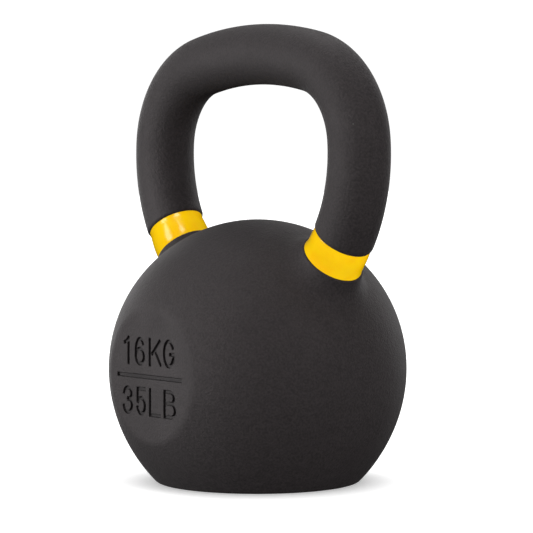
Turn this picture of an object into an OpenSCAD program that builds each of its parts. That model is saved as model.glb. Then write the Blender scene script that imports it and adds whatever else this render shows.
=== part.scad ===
// Cast iron kettlebell: a ball with a flat foot, a looped handle, a flat weight pad
// on the front, a plain one on the back, and a painted colour band round each horn.
// X runs along the grip, -Y is the front, Z is up. The origin is the middle of the foot.

/* [Ball] */
// Diameter of the ball
ball_d = 158; // [130:1:190]
// Diameter of the flat foot that the kettlebell stands on
foot_d = 103; // [70:1:120]
// Width of the chamfer round the foot
foot_chamfer = 1.5; // [0.5:0.1:4]
// Diameter of the flat weight pad on the front
front_pad_d = 69; // [60:1:90]
// Diameter of the plain flat pad on the back
back_pad_d = 69; // [20:1:90]

/* [Handle] */
// Diameter of the grip and the horns
grip_d = 31.6; // [26:0.1:40]
// Overall width of the handle, outside to outside
handle_w = 192; // [160:1:240]
// Radius of the slow arc along the top of the grip, at its centreline
grip_arc_r = 205; // [150:1:300]
// Radius of the handle's upper corners, at the centreline
corner_arc_r = 45.5; // [35:0.5:60]
// Radius of the sides as they curve in to the ball, at the centreline
side_arc_r = 81.5; // [65:0.5:100]
// Slope of the centreline where a corner runs into a side, from level
corner_end_angle = 85.5; // [75:0.5:89]
// Slope of the centreline where a horn runs into the ball, from level
root_angle = 135; // [125:1:145]
// Radius of the fillet between a horn and the ball
root_fillet_r = 10; // [5:0.5:14]

/* [Colour bands] */
// Depth of the neck that holds a band
neck_depth = 1.6; // [0.8:0.1:3]
// Thickness of a band
band_t = 0.9; // [0.4:0.1:2]
// Width of the band on the right horn
right_band_w = 13.4; // [8:0.1:22]
// Distance from the ball up to the right band
right_band_gap = 6.2; // [5:0.1:15]
// Width of the band on the left horn
left_band_w = 15.7; // [8:0.1:22]
// Distance from the ball up to the left band
left_band_gap = 8.2; // [5:0.1:15]

/* [Weight marking] */
// Height of the figures and letters
letter_h = 15; // [10:0.5:18]
// Width of their strokes
stroke_w = 2.2; // [1.2:0.1:3]
// Depth of the marking
mark_depth = 1.1; // [0.5:0.1:2]
// Length of the bar between the two lines
bar_l = 54.4; // [40:0.1:58]
// Height of the bar between the two lines
bar_h = 2.7; // [1:0.1:5]
// Space between the bar and each line
line_gap = 4; // [2:0.1:8]
// Step from the middle of the pad to the middle of the marking
mark_shift = -1.4; // [-3:0.1:3]

/* [Hidden] */
$fn = 96;

ball_r = ball_d / 2;
grip_r = grip_d / 2;
foot_r = foot_d / 2;
// the ball's own edge, where the chamfer begins, lies just outside the foot
ball_z = sqrt(pow(ball_r, 2) - pow(foot_r + foot_chamfer, 2));
front_pad_y = sqrt(pow(ball_r, 2) - pow(front_pad_d / 2, 2));
back_pad_y = sqrt(pow(ball_r, 2) - pow(back_pad_d / 2, 2));
// how far a fillet is let into the ball and the horn, so that the three cross cleanly
fillet_sink = 0.3;
// the corners, and then the sides, are a hair thicker than the grip, and each piece of
// the handle runs on a little inside the next, so that their surfaces cross squarely
hair = 0.02;
corner_r = grip_r + hair;
horn_r = corner_r + hair;
lap = 0.5;
// how far a cutting solid stands clear of what it cuts
over = 2;

// Centreline of the handle, in the XZ plane: grip arc, corner arc, side arc, then a
// straight root that points at the middle of the ball. Each arc is tangent to the next.
function unit(slope) = [sin(slope), cos(slope)];
// the angle that a length takes up along an arc
function turn(l, arc_r) = l / arc_r * 180 / PI;
half_span = handle_w / 2 - grip_r;
grip_end_angle = asin((half_span - side_arc_r
    + (side_arc_r - corner_arc_r) * sin(corner_end_angle)) / (grip_arc_r - corner_arc_r));
corner_from_grip = (grip_arc_r - corner_arc_r) * unit(grip_end_angle);
side_from_grip = corner_from_grip - (side_arc_r - corner_arc_r) * unit(corner_end_angle);
root_from_grip = side_from_grip + side_arc_r * unit(root_angle);
grip_centre = [0, ball_z - root_from_grip[0] * cos(root_angle) / sin(root_angle) - root_from_grip[1]];
corner_centre = grip_centre + corner_from_grip;
side_centre = grip_centre + side_from_grip;
root_end = grip_centre + root_from_grip;

// Places along a horn are counted from the end of the side arc, upwards along the
// centreline, and are negative on the straight root.
ball_centre = [0, ball_z];
root_reach = norm(root_end - ball_centre);
side_from_ball = side_centre - ball_centre;
// slope of the side arc where it is r away from the middle of the ball
function slope_at(r) = 90 - atan2(side_from_ball[1], side_from_ball[0])
    + acos((pow(r, 2) - pow(norm(side_from_ball), 2) - pow(side_arc_r, 2))
        / (2 * side_arc_r * norm(side_from_ball)));
function place_at(r) = r < root_reach ? r - root_reach
    : (root_angle - slope_at(r)) * PI / 180 * side_arc_r;

// Direction, from the middle of the ball, in which a horn leaves it
exit_point = ball_r < root_reach ? root_end : side_centre + side_arc_r * unit(slope_at(ball_r));
exit_angle = atan2(exit_point[0] - ball_centre[0], exit_point[1] - ball_centre[1]);

// A ring swept round an arc of the centreline, from one slope to another
module arc_sweep(centre, arc_r, from, to, outer_r, inner_r = 0) {
    translate([centre[0], 0, centre[1]]) rotate([90, to - 90, 0])
        rotate_extrude(angle = to - from) translate([arc_r, 0]) difference() {
            circle(r = outer_r);
            if (inner_r > 0) circle(r = inner_r);
        }
}

// A sleeve round a horn between two places, on its side arc and on its straight root
module sleeve(from, to, outer_r, inner_r) {
    if (to > 0) arc_sweep(side_centre, side_arc_r, root_angle - turn(to, side_arc_r),
        root_angle - turn(max(from, 0), side_arc_r), outer_r, inner_r);
    if (from < 0) translate([ball_centre[0], 0, ball_centre[1]]) rotate([0, 180 - root_angle, 0])
        difference() {
            translate([0, 0, root_reach + from]) cylinder(r = outer_r, h = min(to, 0) - from);
            translate([0, 0, root_reach + from - over])
                cylinder(r = inner_r, h = min(to, 0) - from + 2 * over);
        }
}

module neck(gap, width) {
    low = place_at(ball_r + gap);
    sleeve(low, low + width, horn_r + over, horn_r - neck_depth);
}

module colour_band(gap, width) {
    low = place_at(ball_r + gap);
    sleeve(low, low + width, horn_r - neck_depth + band_t, horn_r - neck_depth);
}

// The ball, cut flat at the foot, with a chamfered edge
module ball() {
    intersection() {
        translate([0, 0, ball_z]) sphere(r = ball_r);
        union() {
            cylinder(r1 = foot_r, r2 = foot_r + 2 * foot_chamfer, h = 2 * foot_chamfer);
            translate([0, 0, 2 * foot_chamfer]) cylinder(r = ball_r + over, h = ball_d);
        }
    }
}

// One half of the handle beyond the grip arc: corner, side and straight root
module horn() {
    arc_sweep(corner_centre, corner_arc_r, grip_end_angle, corner_end_angle + turn(lap, corner_arc_r),
        corner_r);
    arc_sweep(side_centre, side_arc_r, corner_end_angle, root_angle, horn_r);
    translate([ball_centre[0], 0, ball_centre[1]]) rotate([0, 180 - root_angle, 0])
        cylinder(r = corner_r, h = root_reach + lap);
}

// The fillet is a body of revolution about the line from the ball's middle to the horn.
module root_fillet() {
    centre_x = corner_r - fillet_sink + root_fillet_r;
    centre_z = sqrt(pow(ball_r - fillet_sink + root_fillet_r, 2) - pow(centre_x, 2));
    touch = [centre_x, centre_z] * (ball_r - fillet_sink) / (ball_r - fillet_sink + root_fillet_r);
    depth = root_fillet_r / 2;
    translate([ball_centre[0], 0, ball_centre[1]]) rotate([0, exit_angle, 0])
        rotate_extrude() difference() {
            polygon([[0, touch[1] - depth], [touch[0], touch[1] - depth], touch,
                [centre_x, centre_z], [0, centre_z]]);
            translate([centre_x, centre_z]) circle(r = root_fillet_r);
        }
}

// The marking is drawn as hairlines along the middle of each stroke, and then thickened
// all at once, which also rounds the ends. Each figure stands on the line y = 0, with
// x = 0 at its left.
pen = 0.1;
lo = stroke_w / 2;
hi = letter_h - stroke_w / 2;
mid = letter_h / 2;

module line_to(a, b) {
    run = b - a;
    translate(a) rotate(atan2(run[1], run[0])) translate([0, -pen / 2]) square([norm(run), pen]);
}

module curve(centre, r, from, sweep) {
    steps = ceil(abs(sweep) / 12);
    at = [for (i = [0:steps]) from + sweep * i / steps];
    translate(centre) polygon(concat(
        [for (t = at) (r + pen / 2) * [cos(t), sin(t)]],
        [for (i = [steps:-1:0]) (r - pen / 2) * [cos(at[i]), sin(at[i])]]));
}

module figure_1() {
    line_to([3.6, lo], [3.6, hi]);
    line_to([3.6, hi], [0.7, hi - 2.2]);
}
module figure_6() {
    r = 3.45;
    line_to([lo, lo + r], [lo, hi - r]);
    curve([lo + r, lo + r], r, 0, 360);
    curve([lo + r, hi - r], r, 20, 160);
}
module letter_k() {
    line_to([lo, lo], [lo, hi]);
    line_to([lo + 1.6, mid - 0.8], [lo + 8.3, hi]);
    line_to([lo + 4.1, mid + 1.4], [lo + 8.9, lo]);
}
module letter_g() {
    r = 3.85;
    line_to([lo, lo + r], [lo, hi - r]);
    curve([lo + r, hi - r], r, 25, 155);
    curve([lo + r, lo + r], r, 180, 180);
    line_to([lo + 2 * r, lo + r], [lo + 2 * r, mid - 0.3]);
    line_to([lo + r + 0.6, mid - 0.3], [lo + 2 * r, mid - 0.3]);
}
module figure_3() {
    r = (hi - lo) / 4;
    curve([lo + r, hi - r], r, -90, 250);
    curve([lo + r, lo + r], r, -160, 250);
}
module figure_5() {
    r = 3.4;
    line_to([lo, hi], [lo + r + 2.6, hi]);
    line_to([lo, lo + 2 * r - 0.6], [lo, hi]);
    curve([lo + r - 0.6, lo + r], r, -150, 285);
}
module letter_l() {
    line_to([lo, lo], [lo, hi]);
    line_to([lo, lo], [lo + 8, lo]);
}
module letter_b() {
    r = (hi - lo) / 4;
    line_to([lo, lo], [lo, hi]);
    for (y = [lo, lo + 2 * r]) {
        line_to([lo, y + 2 * r], [lo + 4.9, y + 2 * r]);
        curve([lo + 4.9, y + r], r, -90, 180);
    }
    line_to([lo, lo], [lo + 4.9, lo]);
}

// Two lines with a bar between them, set flat on the pad
module marking() {
    top_line = bar_h / 2 + line_gap;
    bottom_line = -bar_h / 2 - line_gap - letter_h;
    translate([mark_shift, -front_pad_y + mark_depth, ball_z]) rotate([90, 0, 0])
        linear_extrude(mark_depth + over) {
            offset(r = (stroke_w - pen) / 2, $fn = 24) {
                translate([-21.1, top_line]) figure_1();
                translate([-12.3, top_line]) figure_6();
                translate([-0.4, top_line]) letter_k();
                translate([11.6, top_line]) letter_g();
                translate([-22.9, bottom_line]) figure_3();
                translate([-11, bottom_line]) figure_5();
                translate([-0.3, bottom_line]) letter_l();
                translate([11.9, bottom_line]) letter_b();
            }
            square([bar_l, bar_h], center = true);
        }
}

// Ball, horns and grip are poured in one piece.
module casting() color("#2f2d2e") difference() {
    union() {
        ball();
        grip_half = grip_end_angle + turn(lap, grip_arc_r);
        arc_sweep(grip_centre, grip_arc_r, -grip_half, grip_half, grip_r);
        for (side = [0, 1]) mirror([side, 0, 0]) {
            horn();
            root_fillet();
        }
    }
    neck(right_band_gap, right_band_w);
    mirror([1, 0, 0]) neck(left_band_gap, left_band_w);
    translate([-ball_r, -ball_d - front_pad_y, 0]) cube([ball_d, ball_d, 2 * ball_d]);
    translate([-ball_r, back_pad_y, 0]) cube([ball_d, ball_d, 2 * ball_d]);
    marking();
}

module left_colour_band() color("#fac201") mirror([1, 0, 0]) colour_band(left_band_gap, left_band_w);

module right_colour_band() color("#fac201") colour_band(right_band_gap, right_band_w);

casting();
left_colour_band();
right_colour_band();
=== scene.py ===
import math

import bmesh
import bpy
from mathutils import Matrix, Vector, noise


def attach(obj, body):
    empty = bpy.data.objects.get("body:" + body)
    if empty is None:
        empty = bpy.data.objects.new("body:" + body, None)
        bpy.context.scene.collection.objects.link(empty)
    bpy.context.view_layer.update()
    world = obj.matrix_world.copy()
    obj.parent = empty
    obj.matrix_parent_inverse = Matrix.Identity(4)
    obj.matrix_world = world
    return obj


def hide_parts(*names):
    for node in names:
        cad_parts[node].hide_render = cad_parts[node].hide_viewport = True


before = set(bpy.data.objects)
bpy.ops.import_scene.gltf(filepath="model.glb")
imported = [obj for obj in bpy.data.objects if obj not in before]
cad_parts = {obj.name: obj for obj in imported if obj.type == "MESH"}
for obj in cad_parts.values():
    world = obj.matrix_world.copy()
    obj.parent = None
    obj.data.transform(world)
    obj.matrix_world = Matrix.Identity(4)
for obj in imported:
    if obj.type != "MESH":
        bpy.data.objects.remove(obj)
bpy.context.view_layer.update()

# --- Casting: ball, horns and grip -------------------------------------------------
# One solid piece of grey iron, poured in sand and fettled by hand. The ball runs out
# through a fillet into each horn, and a neck is left in each horn for its colour band.
ball_r = 0.079
foot_r = 0.0515
foot_chamfer = 0.0015
grip_r = 0.0158
handle_w = 0.192
grip_arc_r = 0.205
corner_arc_r = 0.0455
side_arc_r = 0.0815
corner_end_slope = math.radians(85.5)
root_slope = math.radians(135)
fillet_r = 0.018
neck_depth = 0.0016
neck_lip = 0.0006
neck_shoulder = 0.0019
shoulder_h = 0.0012
lean_fade = 0.012
fuller_h, fuller_start, fuller_end = 0.0006, 0.0835, 0.1010
ball_fineness = 6
horn_sides = 96
round_steps = 6
neck_steps = 12
side_arc_steps, corner_arc_steps, grip_arc_steps = 30, 32, 22
root_clearance = 0.0012
near_reach = 0.001
merge_gap = 0.0005
seam_gap = 0.00002
on_seam = 0.000001
tape_reach = 1.2 * grip_r
gap_right, width_right, lean_right = 0.0062, 0.0136, 0.075
gap_left, width_left, lean_left = 0.0082, 0.0161, 0.10

ball_z = math.sqrt(ball_r ** 2 - (foot_r + foot_chamfer) ** 2)
ball_middle = Vector((0, 0, ball_z))


def unit(slope):
    """Direction from the middle of an arc to its centreline, where it has that slope."""
    return Vector((math.sin(slope), 0, math.cos(slope)))


# The centreline of one side of the handle, from the ball up: a straight root, a side
# arc, a corner arc and half of the grip arc, each tangent to the next.
half_span = handle_w / 2 - grip_r
grip_end_slope = math.asin((half_span - side_arc_r + (side_arc_r - corner_arc_r)
                            * math.sin(corner_end_slope)) / (grip_arc_r - corner_arc_r))
corner_from_grip = unit(grip_end_slope) * (grip_arc_r - corner_arc_r)
side_from_grip = corner_from_grip - unit(corner_end_slope) * (side_arc_r - corner_arc_r)
root_from_grip = side_from_grip + unit(root_slope) * side_arc_r
grip_middle = ball_middle - Vector((0, 0, root_from_grip.x / math.tan(root_slope) + root_from_grip.z))
corner_middle = grip_middle + corner_from_grip
side_middle = grip_middle + side_from_grip
root_end = grip_middle + root_from_grip
root_reach = (root_end - ball_middle).length
grip_top = grip_middle.z + grip_arc_r


def section(reach):
    """Frame of the horn's section at that reach along its centreline from the middle of
    the ball. Its Z runs on towards the grip, and its X points out of the loop."""
    slope = root_slope - max(reach - root_reach, 0) / side_arc_r
    if reach > root_reach:
        place = side_middle + unit(slope) * side_arc_r
    else:
        place = ball_middle + (root_end - ball_middle) * (reach / root_reach)
    along = Vector((-math.cos(slope), 0, math.sin(slope)))
    turn = Matrix((unit(slope), Vector((0, 1, 0)), along)).transposed().to_4x4()
    return Matrix.Translation(place) @ turn


def neck_start(gap):
    """Reach of the centreline's point that is that gap above the ball."""
    away = side_middle - ball_middle
    r = ball_r + gap
    lean = math.acos((away.length ** 2 + side_arc_r ** 2 - r ** 2) / (2 * away.length * side_arc_r))
    slope = math.atan2(-away.x, -away.z) % (2 * math.pi) - lean
    return root_reach + (root_slope - slope) * side_arc_r


def edges_of(made):
    return [g for g in made if isinstance(g, bmesh.types.BMEdge)]


def verts_of(made):
    return [g for g in made if isinstance(g, bmesh.types.BMVert)]


def once(items):
    """The items in their order, each only once."""
    return list(dict.fromkeys(items))


def grow(mesh, ring, stations):
    """Draws a ring of edges along a horn through a list of (reach, radius) stations."""
    for old, new in zip(stations, stations[1:]):
        drawn = bmesh.ops.extrude_edge_only(mesh, edges=ring)["geom"]
        step = section(new[0]) @ Matrix.Scale(new[1] / old[1], 4) @ section(old[0]).inverted()
        bmesh.ops.transform(mesh, matrix=step, verts=verts_of(drawn))
        ring = edges_of(drawn)
    return ring


def arc_stations(middle, radius, start, end, steps):
    """(reach, radius) stations along a round, after its start and up to its end."""
    turns = [start + (end - start) * i / steps for i in range(1, steps + 1)]
    return [(middle[0] + radius * math.cos(a), middle[1] + radius * math.sin(a)) for a in turns]


fillet_out = grip_r + fillet_r
fillet_end = math.sqrt((ball_r + fillet_r) ** 2 - fillet_out ** 2)
fillet_lean = math.atan2(fillet_out, fillet_end)
fillet_start = fillet_end - fillet_r * math.cos(fillet_lean)


def fuller(reach):
    """How much fuller than plain round the horn is, from above its fillet to the neck's top."""
    part = (fuller_end - reach) / (fuller_end - fuller_start)
    return fuller_h * math.sin(math.pi * min(max(part, 0), 1))


def horn_radius(reach):
    """Radius of the horn, which flares into its fillet towards the ball."""
    return fillet_out - math.sqrt(fillet_r ** 2 - max(fillet_end - reach, 0) ** 2) + fuller(reach)


def horn_stations(low, width):
    """Stations of the fillet, the plain root and the neck, up to just above the neck."""
    quarter = math.pi / 2
    brim = low - neck_lip
    last_turn = 3 * quarter - math.asin(max(fillet_end - brim, 0) / fillet_r)
    stations = [(fillet_start, fillet_out - fillet_r * math.sin(fillet_lean))]
    stations += arc_stations((fillet_end, fillet_out), fillet_r, math.pi + fillet_lean, last_turn,
                             2 * round_steps)
    stations = [(reach, r + fuller(reach)) for reach, r in stations]
    if brim > fillet_end:
        stations.append((brim, horn_radius(brim)))
    brim_r = horn_radius(brim)
    stations += arc_stations((brim, brim_r - neck_lip), neck_lip, quarter, 0, round_steps)
    for i in range(neck_steps + 1):
        reach = low + width * i / neck_steps
        stations.append((reach, horn_radius(reach) - neck_depth))
    high = low + width
    stations.append((high, grip_r - shoulder_h))
    for i in range(1, round_steps + 1):
        a = quarter * i / round_steps
        stations.append((high + neck_shoulder * (1 - math.cos(a)), grip_r - shoulder_h * (1 - math.sin(a))))
    return stations


def lean_tape(co, low, width, lean):
    """Slides a point of a horn along it: the masking tape above the neck was put on askew."""
    away = co - side_middle
    outset = math.hypot(away.x, away.z) - side_arc_r
    above = root_reach + (root_slope - math.atan2(away.x, away.z)) * side_arc_r - low
    if abs(outset) > tape_reach or above < 0 or above > width + lean_fade:
        return co
    part = above / width if above < width else 1 - (above - width) / lean_fade
    slide = -lean * outset * part
    return side_middle + Matrix.Rotation(-slide / side_arc_r, 3, "Y") @ away


def half_casting(low, width, lean):
    """The half of the casting at +X, open at X = 0, without its pads and its foot."""
    mesh = bmesh.new()
    bmesh.ops.create_icosphere(mesh, subdivisions=ball_fineness, radius=ball_r,
                               matrix=Matrix.Translation(ball_middle))
    everything = mesh.verts[:] + mesh.edges[:] + mesh.faces[:]
    bmesh.ops.bisect_plane(mesh, geom=everything, plane_co=(0, 0, 0), plane_no=(-1, 0, 0),
                           clear_outer=True)
    stations = horn_stations(low, width)
    root = section(0).col[2].xyz
    everything = mesh.verts[:] + mesh.edges[:] + mesh.faces[:]
    below_fillet = ball_middle + root * (stations[0][0] - root_clearance)
    cut = bmesh.ops.bisect_plane(mesh, geom=everything, plane_co=below_fillet, plane_no=root,
                                 clear_outer=True)["geom_cut"]
    bmesh.ops.remove_doubles(mesh, verts=verts_of(cut), dist=merge_gap)
    hole = [e for e in mesh.edges if e.is_boundary and e.verts[0].co.x > near_reach]
    circle = bmesh.ops.create_circle(mesh, segments=horn_sides, radius=stations[0][1],
                                     matrix=section(stations[0][0]))["verts"]
    ring = once(e for v in circle for e in v.link_edges)
    bmesh.ops.bridge_loops(mesh, edges=hole + ring)
    ring = grow(mesh, ring, stations)
    slope = root_slope - (stations[-1][0] - root_reach) / side_arc_r
    for middle, end, steps in ((side_middle, corner_end_slope, side_arc_steps),
                               (corner_middle, grip_end_slope, corner_arc_steps),
                               (grip_middle, 0, grip_arc_steps)):
        around = once(v for e in ring for v in e.verts)
        last = bmesh.ops.spin(mesh, geom=around + ring, cent=middle, axis=(0, 1, 0), dvec=(0, 0, 0),
                              angle=end - slope, steps=steps, use_duplicate=False)["geom_last"]
        ring = edges_of(last)
        slope = end
    for v in mesh.verts:
        v.co = lean_tape(v.co, low, width, lean)
    return mesh


def copy_in(mesh, part):
    """Adds one bmesh to another and frees it."""
    carrier = bpy.data.meshes.new("carrier")
    part.to_mesh(carrier)
    part.free()
    mesh.from_mesh(carrier)
    bpy.data.meshes.remove(carrier)


low_right, low_left = neck_start(gap_right), neck_start(gap_left)
body = half_casting(low_right, width_right, lean_right)
left_half = half_casting(low_left, width_left, lean_left)
bmesh.ops.scale(left_half, vec=(-1, 1, 1), verts=left_half.verts[:])
copy_in(body, left_half)
bmesh.ops.remove_doubles(body, verts=[v for v in body.verts if abs(v.co.x) < on_seam], dist=seam_gap)

# No sand casting is a true ball: this one is a little fuller at its crown and at its foot,
# and the horns are a touch thicker than the grip.
crown, pear, waist = 0.0147, -0.0098, 0.003
fade_start, fade_end = 0.080, 0.098
horn_growth = 0.0022
growth_fade = 0.01


def swells(u):
    """How far out of round the crown, pear and waist shapes are, from the foot's -1 to the crown's 1."""
    return (3 * u * u - 1) / 2, (5 * u ** 3 - 3 * u) / 2, (35 * u ** 4 - 30 * u * u + 3) / 8


def settle(co):
    """Moves a point of the true ball to the place where the casting has it."""
    away = co - ball_middle
    reach = away.length
    fade = min(max((fade_end - reach) / (fade_end - fade_start), 0), 1)
    second, third, fourth = swells(away.z / reach)
    swell = crown * second + pear * third + waist * fourth
    return co + away * (swell * fade * fade * (3 - 2 * fade))


body.normal_update()
bmesh.ops.recalc_face_normals(body, faces=body.faces[:])
body.normal_update()
for v in body.verts:
    past_ball = (v.co - ball_middle).length - fade_start
    thicker = (grip_top - v.co.z) * horn_growth if past_ball > 0 else 0
    v.co = settle(v.co) + v.normal * thicker * min(past_ball / growth_fade, 1)

# --- Foot and pads -----------------------------------------------------------------
# The ball is milled flat at the foot and pressed flat at a pad on each face. The edge of
# each flat is eased by the shot blasting.
foot_edge_r = 0.0020
pad_edge_r = 0.0021
edge_share = 0.55
pad_y = 0.0707
listing_way = Vector((1.0, 7.31, 53.9))


def dress_flat(mesh, outward, distance, edge_r):
    """Cuts the ball flat at a distance from its middle and rounds the edge of the flat."""
    depth = edge_r * edge_share
    plane = ball_middle + outward * (distance - depth)
    everything = mesh.verts[:] + mesh.edges[:] + mesh.faces[:]
    bmesh.ops.bisect_plane(mesh, geom=everything, plane_co=plane, plane_no=outward, clear_outer=True)
    rim = [v for v in mesh.verts if v.is_boundary]
    bmesh.ops.remove_doubles(mesh, verts=rim, dist=merge_gap)
    ring = [e for e in mesh.edges if e.is_boundary]
    rim = once(v for e in ring for v in e.verts)
    radius = sum(((v.co - plane) - outward * (v.co - plane).dot(outward)).length for v in rim) / len(rim)
    lean = math.acos((distance - depth) / math.hypot(distance - depth, radius))
    bend = depth / (1 - math.cos(lean))
    centre = Matrix.Translation(ball_middle)
    old, risen = radius, 0
    for i in range(1, round_steps + 1):
        a = lean * (1 - i / round_steps)
        new = radius - bend * (math.sin(lean) - math.sin(a))
        rise = bend * (math.cos(a) - math.cos(lean))
        squeeze = Matrix.Scale(1, 4)
        for axis in range(3):
            if outward[axis] == 0:
                squeeze[axis][axis] = new / old
        lift = Matrix.Translation(outward * (rise - risen))
        drawn = bmesh.ops.extrude_edge_only(mesh, edges=ring)["geom"]
        bmesh.ops.transform(mesh, matrix=lift @ centre @ squeeze @ centre.inverted(), verts=verts_of(drawn))
        ring = edges_of(drawn)
        old, risen = new, rise
    bmesh.ops.holes_fill(mesh, edges=ring, sides=0)


def listed(mesh, name):
    """Mesh data from a bmesh, in an order that is the same in each run, as the tools' isn't."""
    mesh.verts.sort(key=lambda v: v.co.dot(listing_way))
    mesh.verts.index_update()
    faces = []
    for f in mesh.faces:
        corners = [v.index for v in f.verts]
        first = corners.index(min(corners))
        faces.append(corners[first:] + corners[:first])
    made = bpy.data.meshes.new(name)
    made.from_pydata([v.co for v in mesh.verts], [], sorted(faces))
    return made


for outward, distance, edge_r in ((Vector((0, -1, 0)), pad_y, pad_edge_r),
                                  (Vector((0, 1, 0)), pad_y, pad_edge_r),
                                  (Vector((0, 0, -1)), ball_z, foot_edge_r)):
    dress_flat(body, outward, distance, edge_r)
bmesh.ops.recalc_face_normals(body, faces=body.faces[:])
casting = bpy.data.objects.new("cast_body", listed(body, "casting"))
body.free()
bpy.context.collection.objects.link(casting)

# --- Weight marks on the front pad ---------------------------------------------------
# The weight in kilograms over the weight in pounds, with a bar between, sunk by raised
# letters on the pattern, so the walls draft outwards and the lips are soft.
letter_h = 0.015
stroke_r = 0.00092
mark_depth = 0.0012
mark_lip = 0.00026
mark_draft = 0.00020
bar_l, bar_h = 0.0544, 0.0027
line_gap = 0.004
mark_shift = -0.0014
mark_rise = 0.0002
stroke_corner = 0.00022
corner_steps = 4
flare, plug_top = 1.3 * mark_lip, 2 * mark_lip
flat_lead = 90


def plug_profile():
    """(outset, height over the pad) of a plug's wall, from its floor up past the pad."""
    points = [(-2 * mark_draft, -mark_depth), (-mark_draft, -mark_depth + mark_draft)]
    for i in range(corner_steps + 1):
        a = math.pi / 2 * i / corner_steps
        points.append((mark_lip * (1 - math.cos(a)), mark_lip * (math.sin(a) - 1)))
    points.append((flare, plug_top))
    return points


def stroke_outline(path, r):
    """Outline of a square-ended stroke of half-width r that runs r past its path's ends."""
    points = [Vector(p) for p in path]
    rim = []
    for way in (points, points[::-1]):
        for behind, here, ahead in zip(way, way[1:], way[2:]):
            along = ((ahead - here).normalized() + (here - behind).normalized()).normalized()
            rim.append(here + Vector((along.y, -along.x)) * r)
        ahead = (way[-1] - way[-2]).normalized()
        out = Vector((ahead.y, -ahead.x))
        for side in (1, -1):
            hub = way[-1] + (out * side + ahead) * (r - stroke_corner)
            for i in range(corner_steps + 1):
                a = math.pi / 2 * i / corner_steps
                turned = (math.cos(a), math.sin(a)) if side == 1 else (math.sin(a), math.cos(a))
                rim.append(hub + (out * side * turned[0] + ahead * turned[1]) * stroke_corner)
    return rim


def add_plug(mesh, path, r):
    """Adds the drafted plug of one stroke to the cutter."""
    levels = []
    for outset, height in plug_profile():
        rim = stroke_outline(path, r + outset)
        levels.append([mesh.verts.new((p.x, -pad_y - height, p.y)) for p in rim])
    count = len(levels[0])
    mesh.faces.new(levels[0])
    mesh.faces.new(levels[-1][::-1])
    for lower, upper in zip(levels, levels[1:]):
        for i in range(count):
            mesh.faces.new((lower[i], lower[(i + 1) % count], upper[(i + 1) % count], upper[i]))


def bow(cx, cz, rx, rz, start, end, steps=16):
    """Points along an oval bow, with angles in degrees from +X towards +Z."""
    turns = [math.radians(start + (end - start) * i / steps) for i in range(steps + 1)]
    return [(cx + rx * math.cos(a), cz + rz * math.sin(a)) for a in turns]


# Strokes of each figure and letter in millimetres, on centrelines, from its lower left.
glyphs = {
    "1": [[(3.6, 1.1), (3.6, 13.9)], [(3.6, 13.9), (2.1, 12.2), (0.5, 11.6)]],
    "6": [bow(4.55, 4.95, 3.45, 3.85, 180, -180, 28), [(1.1, 4.95)] + bow(4.55, 7.45, 3.45, 6.45, 180, 40)],
    "K": [[(1.1, 1.1), (1.1, 13.9)], [(3.2, 6.9), (9.4, 13.3)], [(5.5, 8.5), (10.0, 1.7)]],
    "G": [bow(4.95, 7.5, 3.85, 6.4, 30, 330, 28), [(8.9, 4.0), (8.9, 7.2)], [(6.3, 7.2), (8.9, 7.2)]],
    "3": [bow(4.6, 10.85, 3.2, 3.05, 172, -80), bow(4.6, 4.75, 3.5, 3.6, 85, -172, 20)],
    "5": [[(1.4, 13.9), (7.2, 13.9)], [(1.3, 13.9), (1.2, 8.3)], bow(4.2, 5.2, 3.2, 4.05, 148, -165, 22)],
    "L": [[(1.1, 1.1), (1.1, 13.9)], [(1.1, 1.1), (9.1, 1.1)]],
    "B": [[(1.1, 1.1), (1.1, 13.9)], [(1.1, 13.9), (5.6, 13.9)], [(1.1, 8.0), (6.0, 8.0)],
          [(1.1, 1.1), (6.0, 1.1)], bow(5.9, 10.95, 2.9, 2.95, 90, -90),
          bow(6.2, 4.55, 3.5, 3.45, 90, -90)],
}
rows = ((bar_h / 2 + line_gap, (("1", -21.1), ("6", -12.3), ("K", -0.4), ("G", 11.6))),
        (-bar_h / 2 - line_gap - letter_h, (("3", -22.9), ("5", -11.0), ("L", -0.3), ("B", 11.9))))
mark_z = ball_z + mark_rise
cutter = bmesh.new()
for foot_line, signs in rows:
    for sign, left_edge in signs:
        for path in glyphs[sign]:
            placed = [(mark_shift + (left_edge + x) / 1000, mark_z + foot_line + z / 1000) for x, z in path]
            add_plug(cutter, placed, stroke_r)
bar_r = bar_h / 2 - mark_lip
bar_run = bar_l / 2 - bar_r
add_plug(cutter, [(mark_shift - bar_run, mark_z), (mark_shift + bar_run, mark_z)], bar_r)
bmesh.ops.recalc_face_normals(cutter, faces=cutter.faces[:])
cutter_mesh = bpy.data.meshes.new("letter_plugs")
cutter.to_mesh(cutter_mesh)
cutter.free()
plugs = bpy.data.objects.new("letter_plugs", cutter_mesh)
bpy.context.collection.objects.link(plugs)
sink = casting.modifiers.new("sink", "BOOLEAN")
sink.operation = "DIFFERENCE"
sink.solver = "EXACT"
sink.use_self = True
sink.object = plugs
bpy.context.view_layer.update()
sunk = bpy.data.meshes.new_from_object(casting.evaluated_get(bpy.context.evaluated_depsgraph_get()))
casting.modifiers.clear()
casting.data = sunk
sunk.name = "casting_marked"
bpy.data.objects.remove(plugs)
for f in sunk.polygons:
    f.use_smooth = True
flatten = casting.modifiers.new("flat_faces_lead", "WEIGHTED_NORMAL")
flatten.weight = flat_lead

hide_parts("casting")
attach(casting, "root")

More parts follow.
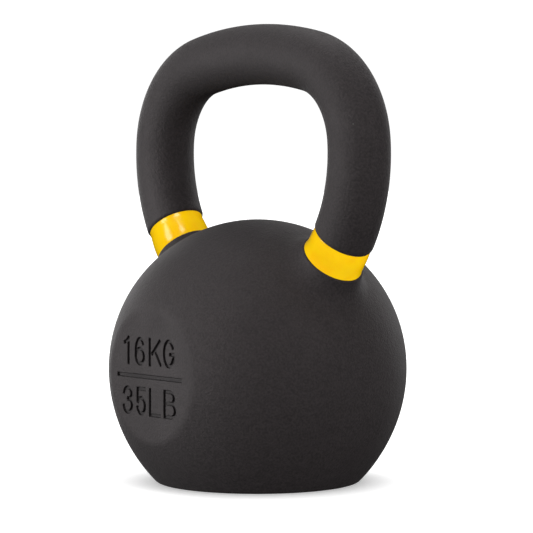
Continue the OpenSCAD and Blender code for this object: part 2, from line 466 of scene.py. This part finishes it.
# --- Powder coat on the casting ------------------------------------------------------
# A satin black powder, sprayed dry and baked on over the blasted iron. It melts to a fine
# even grain with a faint orange peel, and dust and rubbing show on it as paler specks.
coat_black = (0.0090, 0.0069, 0.0073, 1)
coat_worn = (0.0215, 0.0172, 0.0180, 1)
# Painted shade: a darker coat colour laid on the floors of the sunk marks, where shade falls in the recesses.
coat_painted_shade = (0.0035, 0.0027, 0.0029, 1)
coat_dust = (0.16, 0.155, 0.15, 1)
coat_rough = 0.80
grain_size, grain_h = 0.0011, 0.00032
peel_size, peel_h = 0.0036, 0.00018
cast_size, cast_h = 0.028, 0.00030
handled_size, handled_share = 0.045, 0.15
speck_gap, speck_r, speck_rarity, speck_strength = 0.009, 0.03, 0.9, 0.55
marks_reach, marks_start, marks_shade_share = 0.0322, 0.0001, 0.85


class Shade:
    """A socket in a material. Sums and products of shades add the Math nodes."""

    def __init__(self, socket):
        self.socket = socket

    def node(self, kind, settings=None, values=None, output=0):
        """Adds a node with its settings, then gives its sockets values or links."""
        tree = self.socket.id_data
        made = tree.nodes.new(kind)
        for name, setting in (settings or {}).items():
            setattr(made, name, setting)
        for name, value in (values or {}).items():
            if isinstance(value, Shade):
                tree.links.new(value.socket, made.inputs[name])
            else:
                made.inputs[name].default_value = value
        return Shade(made.outputs[output])

    def maths(self, operation, first, second):
        return self.node("ShaderNodeMath", {"operation": operation}, {0: first, 1: second})

    def __add__(self, other):
        return self.maths("ADD", self, other)

    def __radd__(self, other):
        return self.maths("ADD", other, self)

    def __sub__(self, other):
        return self.maths("SUBTRACT", self, other)

    def __rsub__(self, other):
        return self.maths("SUBTRACT", other, self)

    def __mul__(self, other):
        return self.maths("MULTIPLY", self, other)

    def __rmul__(self, other):
        return self.maths("MULTIPLY", other, self)

    def __gt__(self, other):
        return self.maths("GREATER_THAN", self, other)

    def __lt__(self, other):
        return self.maths("LESS_THAN", self, other)

    def spread(self, low, high):
        """0 up to low, 1 from high, and a smooth rise between."""
        return self.node("ShaderNodeMapRange", {"interpolation_type": "SMOOTHSTEP"},
                         {"Value": self, "From Min": low, "From Max": high})

    def clouds(self, size, detail=3.0, roughness=0.55):
        """Soft noise from 0 to 1, with features of that size in metres."""
        return self.node("ShaderNodeTexNoise", {}, {"Vector": self, "Scale": 1 / size, "Detail": detail,
                                                    "Roughness": roughness})

    def blend(self, first, second):
        """Mixes two colours, with this shade as the part of the second."""
        return self.node("ShaderNodeMix", {"data_type": "RGBA"}, {"Factor": self, "A": first, "B": second}, 2)

    def bump(self, distance, under=None):
        """Normal of a surface that this shade raises by up to that distance."""
        values = {"Height": self, "Distance": distance, "Strength": 1.0}
        if under is not None:
            values["Normal"] = under
        return self.node("ShaderNodeBump", {}, values)


def new_finish(name, fixed):
    """A material with fixed values on its shader, its object coordinates and its shader."""
    finish = bpy.data.materials.new(name)
    finish.use_nodes = True
    shader = finish.node_tree.nodes["Principled BSDF"]
    for socket, value in fixed.items():
        shader.inputs[socket].default_value = value
    place = finish.node_tree.nodes.new("ShaderNodeTexCoord").outputs["Object"]
    return finish, Shade(place), shader


def feed(shader, **shades):
    """Links shades to the shader's sockets, which are named with low bars for spaces."""
    for name, shade in shades.items():
        shader.id_data.links.new(shade.socket, shader.inputs[name.replace("_", " ")])


powder, place, shader = new_finish("satin_powder", {"Specular IOR Level": 0.5,
                                                    "Specular Tint": (1.0, 0.935, 0.95, 1)})
grain = place.clouds(grain_size, 2.0, 0.6)
peel = place.clouds(peel_size, 2.0, 0.5)
cast = place.clouds(cast_size, 2.0, 0.5)
handled = place.clouds(handled_size, 4.0, 0.6).spread(0.42, 0.72)
speck_cells = {"Vector": place, "Scale": 1 / speck_gap, "Randomness": 1.0}
speck_near = place.node("ShaderNodeTexVoronoi", {}, speck_cells)
speck_draw = place.node("ShaderNodeTexWhiteNoise", {"noise_dimensions": "3D"},
                        {"Vector": place.node("ShaderNodeTexVoronoi", {}, speck_cells, 2)})
speck = (speck_near < speck_r) * (speck_draw > speck_rarity)
worn = (1 - handled_share) * grain.spread(0.3, 0.7) + handled_share * handled
tint = worn.blend(coat_black, coat_worn)
from_pad = place.node("ShaderNodeVectorMath", {"operation": "SUBTRACT"},
                      {0: place, 1: (0, -pad_y, mark_z)})
below_pad = from_pad.node("ShaderNodeSeparateXYZ", {}, {"Vector": from_pad}, 1)
off_middle = from_pad.node("ShaderNodeVectorMath", {"operation": "LENGTH"}, {0: from_pad}, 1)
# Painted shade: the coat is painted darker inside the sunk marks of the front pad, standing in for the shade
# in those recesses.
painted_recess_shade = (off_middle < marks_reach) * below_pad.spread(marks_start, mark_depth / 2)
tint = (painted_recess_shade * marks_shade_share).blend(tint, coat_painted_shade)
feed(shader, Base_Color=(speck * speck_strength).blend(tint, coat_dust),
     Roughness=coat_rough + 0.10 * (grain - 0.5) + 0.05 * (peel - 0.5) - 0.05 * handled,
     Normal=grain.bump(grain_h, peel.bump(peel_h, cast.bump(cast_h))))
casting.data.materials.clear()
casting.data.materials.append(powder)

# --- Colour bands ----------------------------------------------------------------------
# A ring of thick yellow enamel, brushed by hand into the neck of each horn and cured. It
# pulls back from its masked edges, and the brush leaves soft runs in it.
band_t = 0.0009
band_edge = 0.00035
run_size, run_depth, run_stretch = 0.0055, 0.00010, 0.45
band_sink = 0.00003
rows_up, edge_steps = 24, 4
dimple_r, dimple_depth = 0.0007, 0.0002
right_dimple_turn, right_dimple_up = math.radians(100), 0.004
left_dimple_turn, left_dimple_up = math.radians(-75), 0.0065
brush_size, brush_h = 0.0016, 0.00003
pool_size, run_h = 0.012, 0.00020
enamel_yellow = (1.0, 0.615, 0.0003, 1)
enamel_deep = (0.99, 0.54, 0.0003, 1)
enamel_thin = (1.0, 0.65, 0.0008, 1)


def colour_band(name, low, width, lean, mirrored, dimple):
    """A closed ring of enamel in the neck that starts at that reach."""
    mesh = bmesh.new()
    outset = band_t - neck_depth
    inner = horn_radius(low) - neck_depth - band_sink
    circle = bmesh.ops.create_circle(mesh, segments=2 * horn_sides, radius=inner,
                                     matrix=section(low))["verts"]
    ring = once(e for v in circle for e in v.link_edges)
    hidden = set(circle)
    high = low + width
    stations = [(low, inner), (low, horn_radius(low) + outset - band_edge)]
    stations += arc_stations((low + band_edge, horn_radius(low) + outset - band_edge), band_edge,
                             math.pi, math.pi / 2, edge_steps)
    span = width - 2 * band_edge
    for i in range(1, rows_up + 1):
        reach = low + band_edge + span * i / rows_up
        stations.append((reach, horn_radius(reach) + outset))
    stations += arc_stations((high - band_edge, horn_radius(high) + outset - band_edge), band_edge,
                             math.pi / 2, 0, edge_steps)
    stations.append((high, horn_radius(high) - neck_depth - band_sink))
    last = grow(mesh, ring, stations)
    hidden |= {v for e in last for v in e.verts}
    bmesh.ops.recalc_face_normals(mesh, faces=mesh.faces[:])
    mesh.normal_update()
    for v in mesh.verts:
        if v not in hidden:
            lift = run_depth * noise.noise(Vector((v.co.x, v.co.y, v.co.z * run_stretch)) / run_size)
            lift -= dimple_depth * math.exp(-((v.co - dimple).length / dimple_r) ** 2)
            v.co += v.normal * lift
    for v in mesh.verts:
        v.co = lean_tape(v.co, low, width, lean)
    bmesh.ops.bridge_loops(mesh, edges=ring + last)
    if mirrored:
        bmesh.ops.scale(mesh, vec=(-1, 1, 1), verts=mesh.verts[:])
    bmesh.ops.recalc_face_normals(mesh, faces=mesh.faces[:])
    data = listed(mesh, name)
    mesh.free()
    for f in data.polygons:
        f.use_smooth = True
    band = bpy.data.objects.new(name, data)
    bpy.context.collection.objects.link(band)
    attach(band, "root")
    return band


def on_band(low, turn, up):
    """A point on a band, that far up it, and that angle round from its outer side to +Y."""
    r = horn_radius(low + up) + band_t - neck_depth
    return section(low + up) @ Vector((r * math.cos(turn), r * math.sin(turn), 0))


right_band = colour_band("right_enamel", low_right, width_right, lean_right, False,
                         on_band(low_right, right_dimple_turn, right_dimple_up))
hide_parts("right_colour_band")
left_band = colour_band("left_enamel", low_left, width_left, lean_left, True,
                        on_band(low_left, left_dimple_turn, left_dimple_up))
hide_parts("left_colour_band")

enamel, place, shader = new_finish("brushed_enamel", {"Specular IOR Level": 0.45, "Coat Roughness": 0.05})
runs = place.clouds(run_size, 2.0, 0.5)
brushed = place.clouds(brush_size, 3.0, 0.6)
pooled = place.clouds(pool_size, 2.0, 0.5)
tint = pooled.spread(0.35, 0.65).blend(enamel_yellow, enamel_deep)
feed(shader, Base_Color=(brushed.spread(0.5, 0.8) * 0.5).blend(tint, enamel_thin),
     Roughness=0.17 + 0.10 * (runs - 0.5),
     Coat_Weight=0.12 + 0.15 * (pooled - 0.5),
     Normal=brushed.bump(brush_h, runs.bump(run_h)))
for band in (right_band, left_band):
    band.data.materials.clear()
    band.data.materials.append(enamel)

# --- Camera and studio -----------------------------------------------------------------
# A long lens looks at the piece a little from its right, over a sweep of white paper. The
# paper has its own soft lamp, so that the piece can be lit without greying it.
floor_half = 8
floor_glow, floor_watts, floor_softness = 0.40, 2.7, math.radians(70)
room_plain, room_mirrored, room_seen = 0.71, 0.0, 1.05
lamp_away = 1.3

camera_data = bpy.data.cameras.new("camera")
camera = bpy.data.objects.new("camera", camera_data)
bpy.context.collection.objects.link(camera)
camera.location = (0.99297, -0.81651, 0.17072)
camera.rotation_euler = [math.radians(a) for a in (87.441, 0.061, 50.359)]
camera_data.lens = 165.006
camera_data.sensor_width = 36.0
camera_data.clip_start = 0.05
bpy.context.scene.camera = camera

floor_mesh = bmesh.new()
bmesh.ops.create_grid(floor_mesh, x_segments=1, y_segments=1, size=floor_half)
floor_data = bpy.data.meshes.new("floor")
floor_mesh.to_mesh(floor_data)
floor_mesh.free()
floor = bpy.data.objects.new("floor", floor_data)
bpy.context.collection.objects.link(floor)
floor.visible_diffuse = False
floor.visible_glossy = False
paper = new_finish("white_paper", {"Roughness": 0.9, "Specular IOR Level": 0.1,
                                   "Base Color": (0.82, 0.82, 0.82, 1),
                                   "Emission Color": (1, 1, 1, 1), "Emission Strength": floor_glow})[0]
floor_data.materials.append(paper)

# The room is dim round the piece, black as the piece mirrors it, and white behind it.
world = bpy.data.worlds.new("studio")
bpy.context.scene.world = world
world.use_nodes = True
room = world.node_tree.nodes["Background"].outputs[0]
rays = world.node_tree.nodes.new("ShaderNodeLightPath")
room.node.inputs["Color"].default_value = (1, 1, 1, 1)
room.node.inputs["Strength"].default_value = room_plain
for ray, strength in (("Is Glossy Ray", room_mirrored), ("Is Camera Ray", room_seen)):
    other = world.node_tree.nodes.new("ShaderNodeBackground")
    other.inputs["Color"].default_value = (1, 1, 1, 1)
    other.inputs["Strength"].default_value = strength
    choice = world.node_tree.nodes.new("ShaderNodeMixShader")
    for start, end in ((rays.outputs[ray], 0), (room, 1), (other.outputs[0], 2)):
        world.node_tree.links.new(start, choice.inputs[end])
    room = choice.outputs[0]
world.node_tree.links.new(room, world.node_tree.nodes["World Output"].inputs["Surface"])

# Softboxes: degrees round from the camera (right is positive), degrees up, size and watts.
# Some give the piece its plain light, and others only the sheen of the coat or the enamel.
plain_boxes = ((50, 5, 0.6, 7.0), (-45, 5, 0.6, 5.6), (-40, 68, 0.6, 5.2), (110, 5, 0.6, 3.2))
sheen_boxes = ((-85, 5, 0.6, 15.0), (-65, 5, 0.6, 11.2), (180, 68, 0.6, 8.4), (-150, 5, 0.6, 7.4),
               (50, 5, 0.6, 6.7), (40, 68, 0.6, 5.0), (140, 5, 0.6, 4.6), (150, 35, 0.6, 3.1))
streak_boxes = ((-62, 22, 0.5, 4.6), (1, 52, 0.46, 4.4))
camera_round = math.radians(50.36)
lit_point = Vector((0, 0, 0.12))


def lit_only(name, *objects):
    """A collection of the objects that a lamp shines on."""
    lit = bpy.data.collections.new(name)
    for obj in objects:
        lit.objects.link(obj)
    return lit


for boxes, sheen, lit in ((plain_boxes, False, lit_only("lit_piece", casting, right_band, left_band)),
                          (sheen_boxes, True, lit_only("lit_casting", casting)),
                          (streak_boxes, True, lit_only("lit_bands", right_band, left_band))):
    for turn, up, size, watts in boxes:
        lamp_data = bpy.data.lights.new("softbox", "AREA")
        lamp_data.shape = "SQUARE"
        lamp_data.size = size
        lamp_data.energy = watts
        lamp = bpy.data.objects.new("softbox", lamp_data)
        a, e = math.radians(turn) + camera_round, math.radians(up)
        away = Vector((math.sin(a) * math.cos(e), -math.cos(a) * math.cos(e), math.sin(e)))
        lamp.location = lit_point + away * lamp_away
        lamp.rotation_euler = (-away).to_track_quat("-Z", "Y").to_euler()
        lamp.visible_glossy = sheen
        lamp.visible_diffuse = not sheen
        lamp.light_linking.receiver_collection = lit
        bpy.context.collection.objects.link(lamp)
floor_light_data = bpy.data.lights.new("floor_light", "SUN")
floor_light_data.angle = floor_softness
floor_light_data.energy = floor_watts
floor_light = bpy.data.objects.new("floor_light", floor_light_data)
bpy.context.collection.objects.link(floor_light)
floor_light.light_linking.receiver_collection = lit_only("lit_floor", floor)
bpy.context.scene.view_settings.view_transform = "Standard"
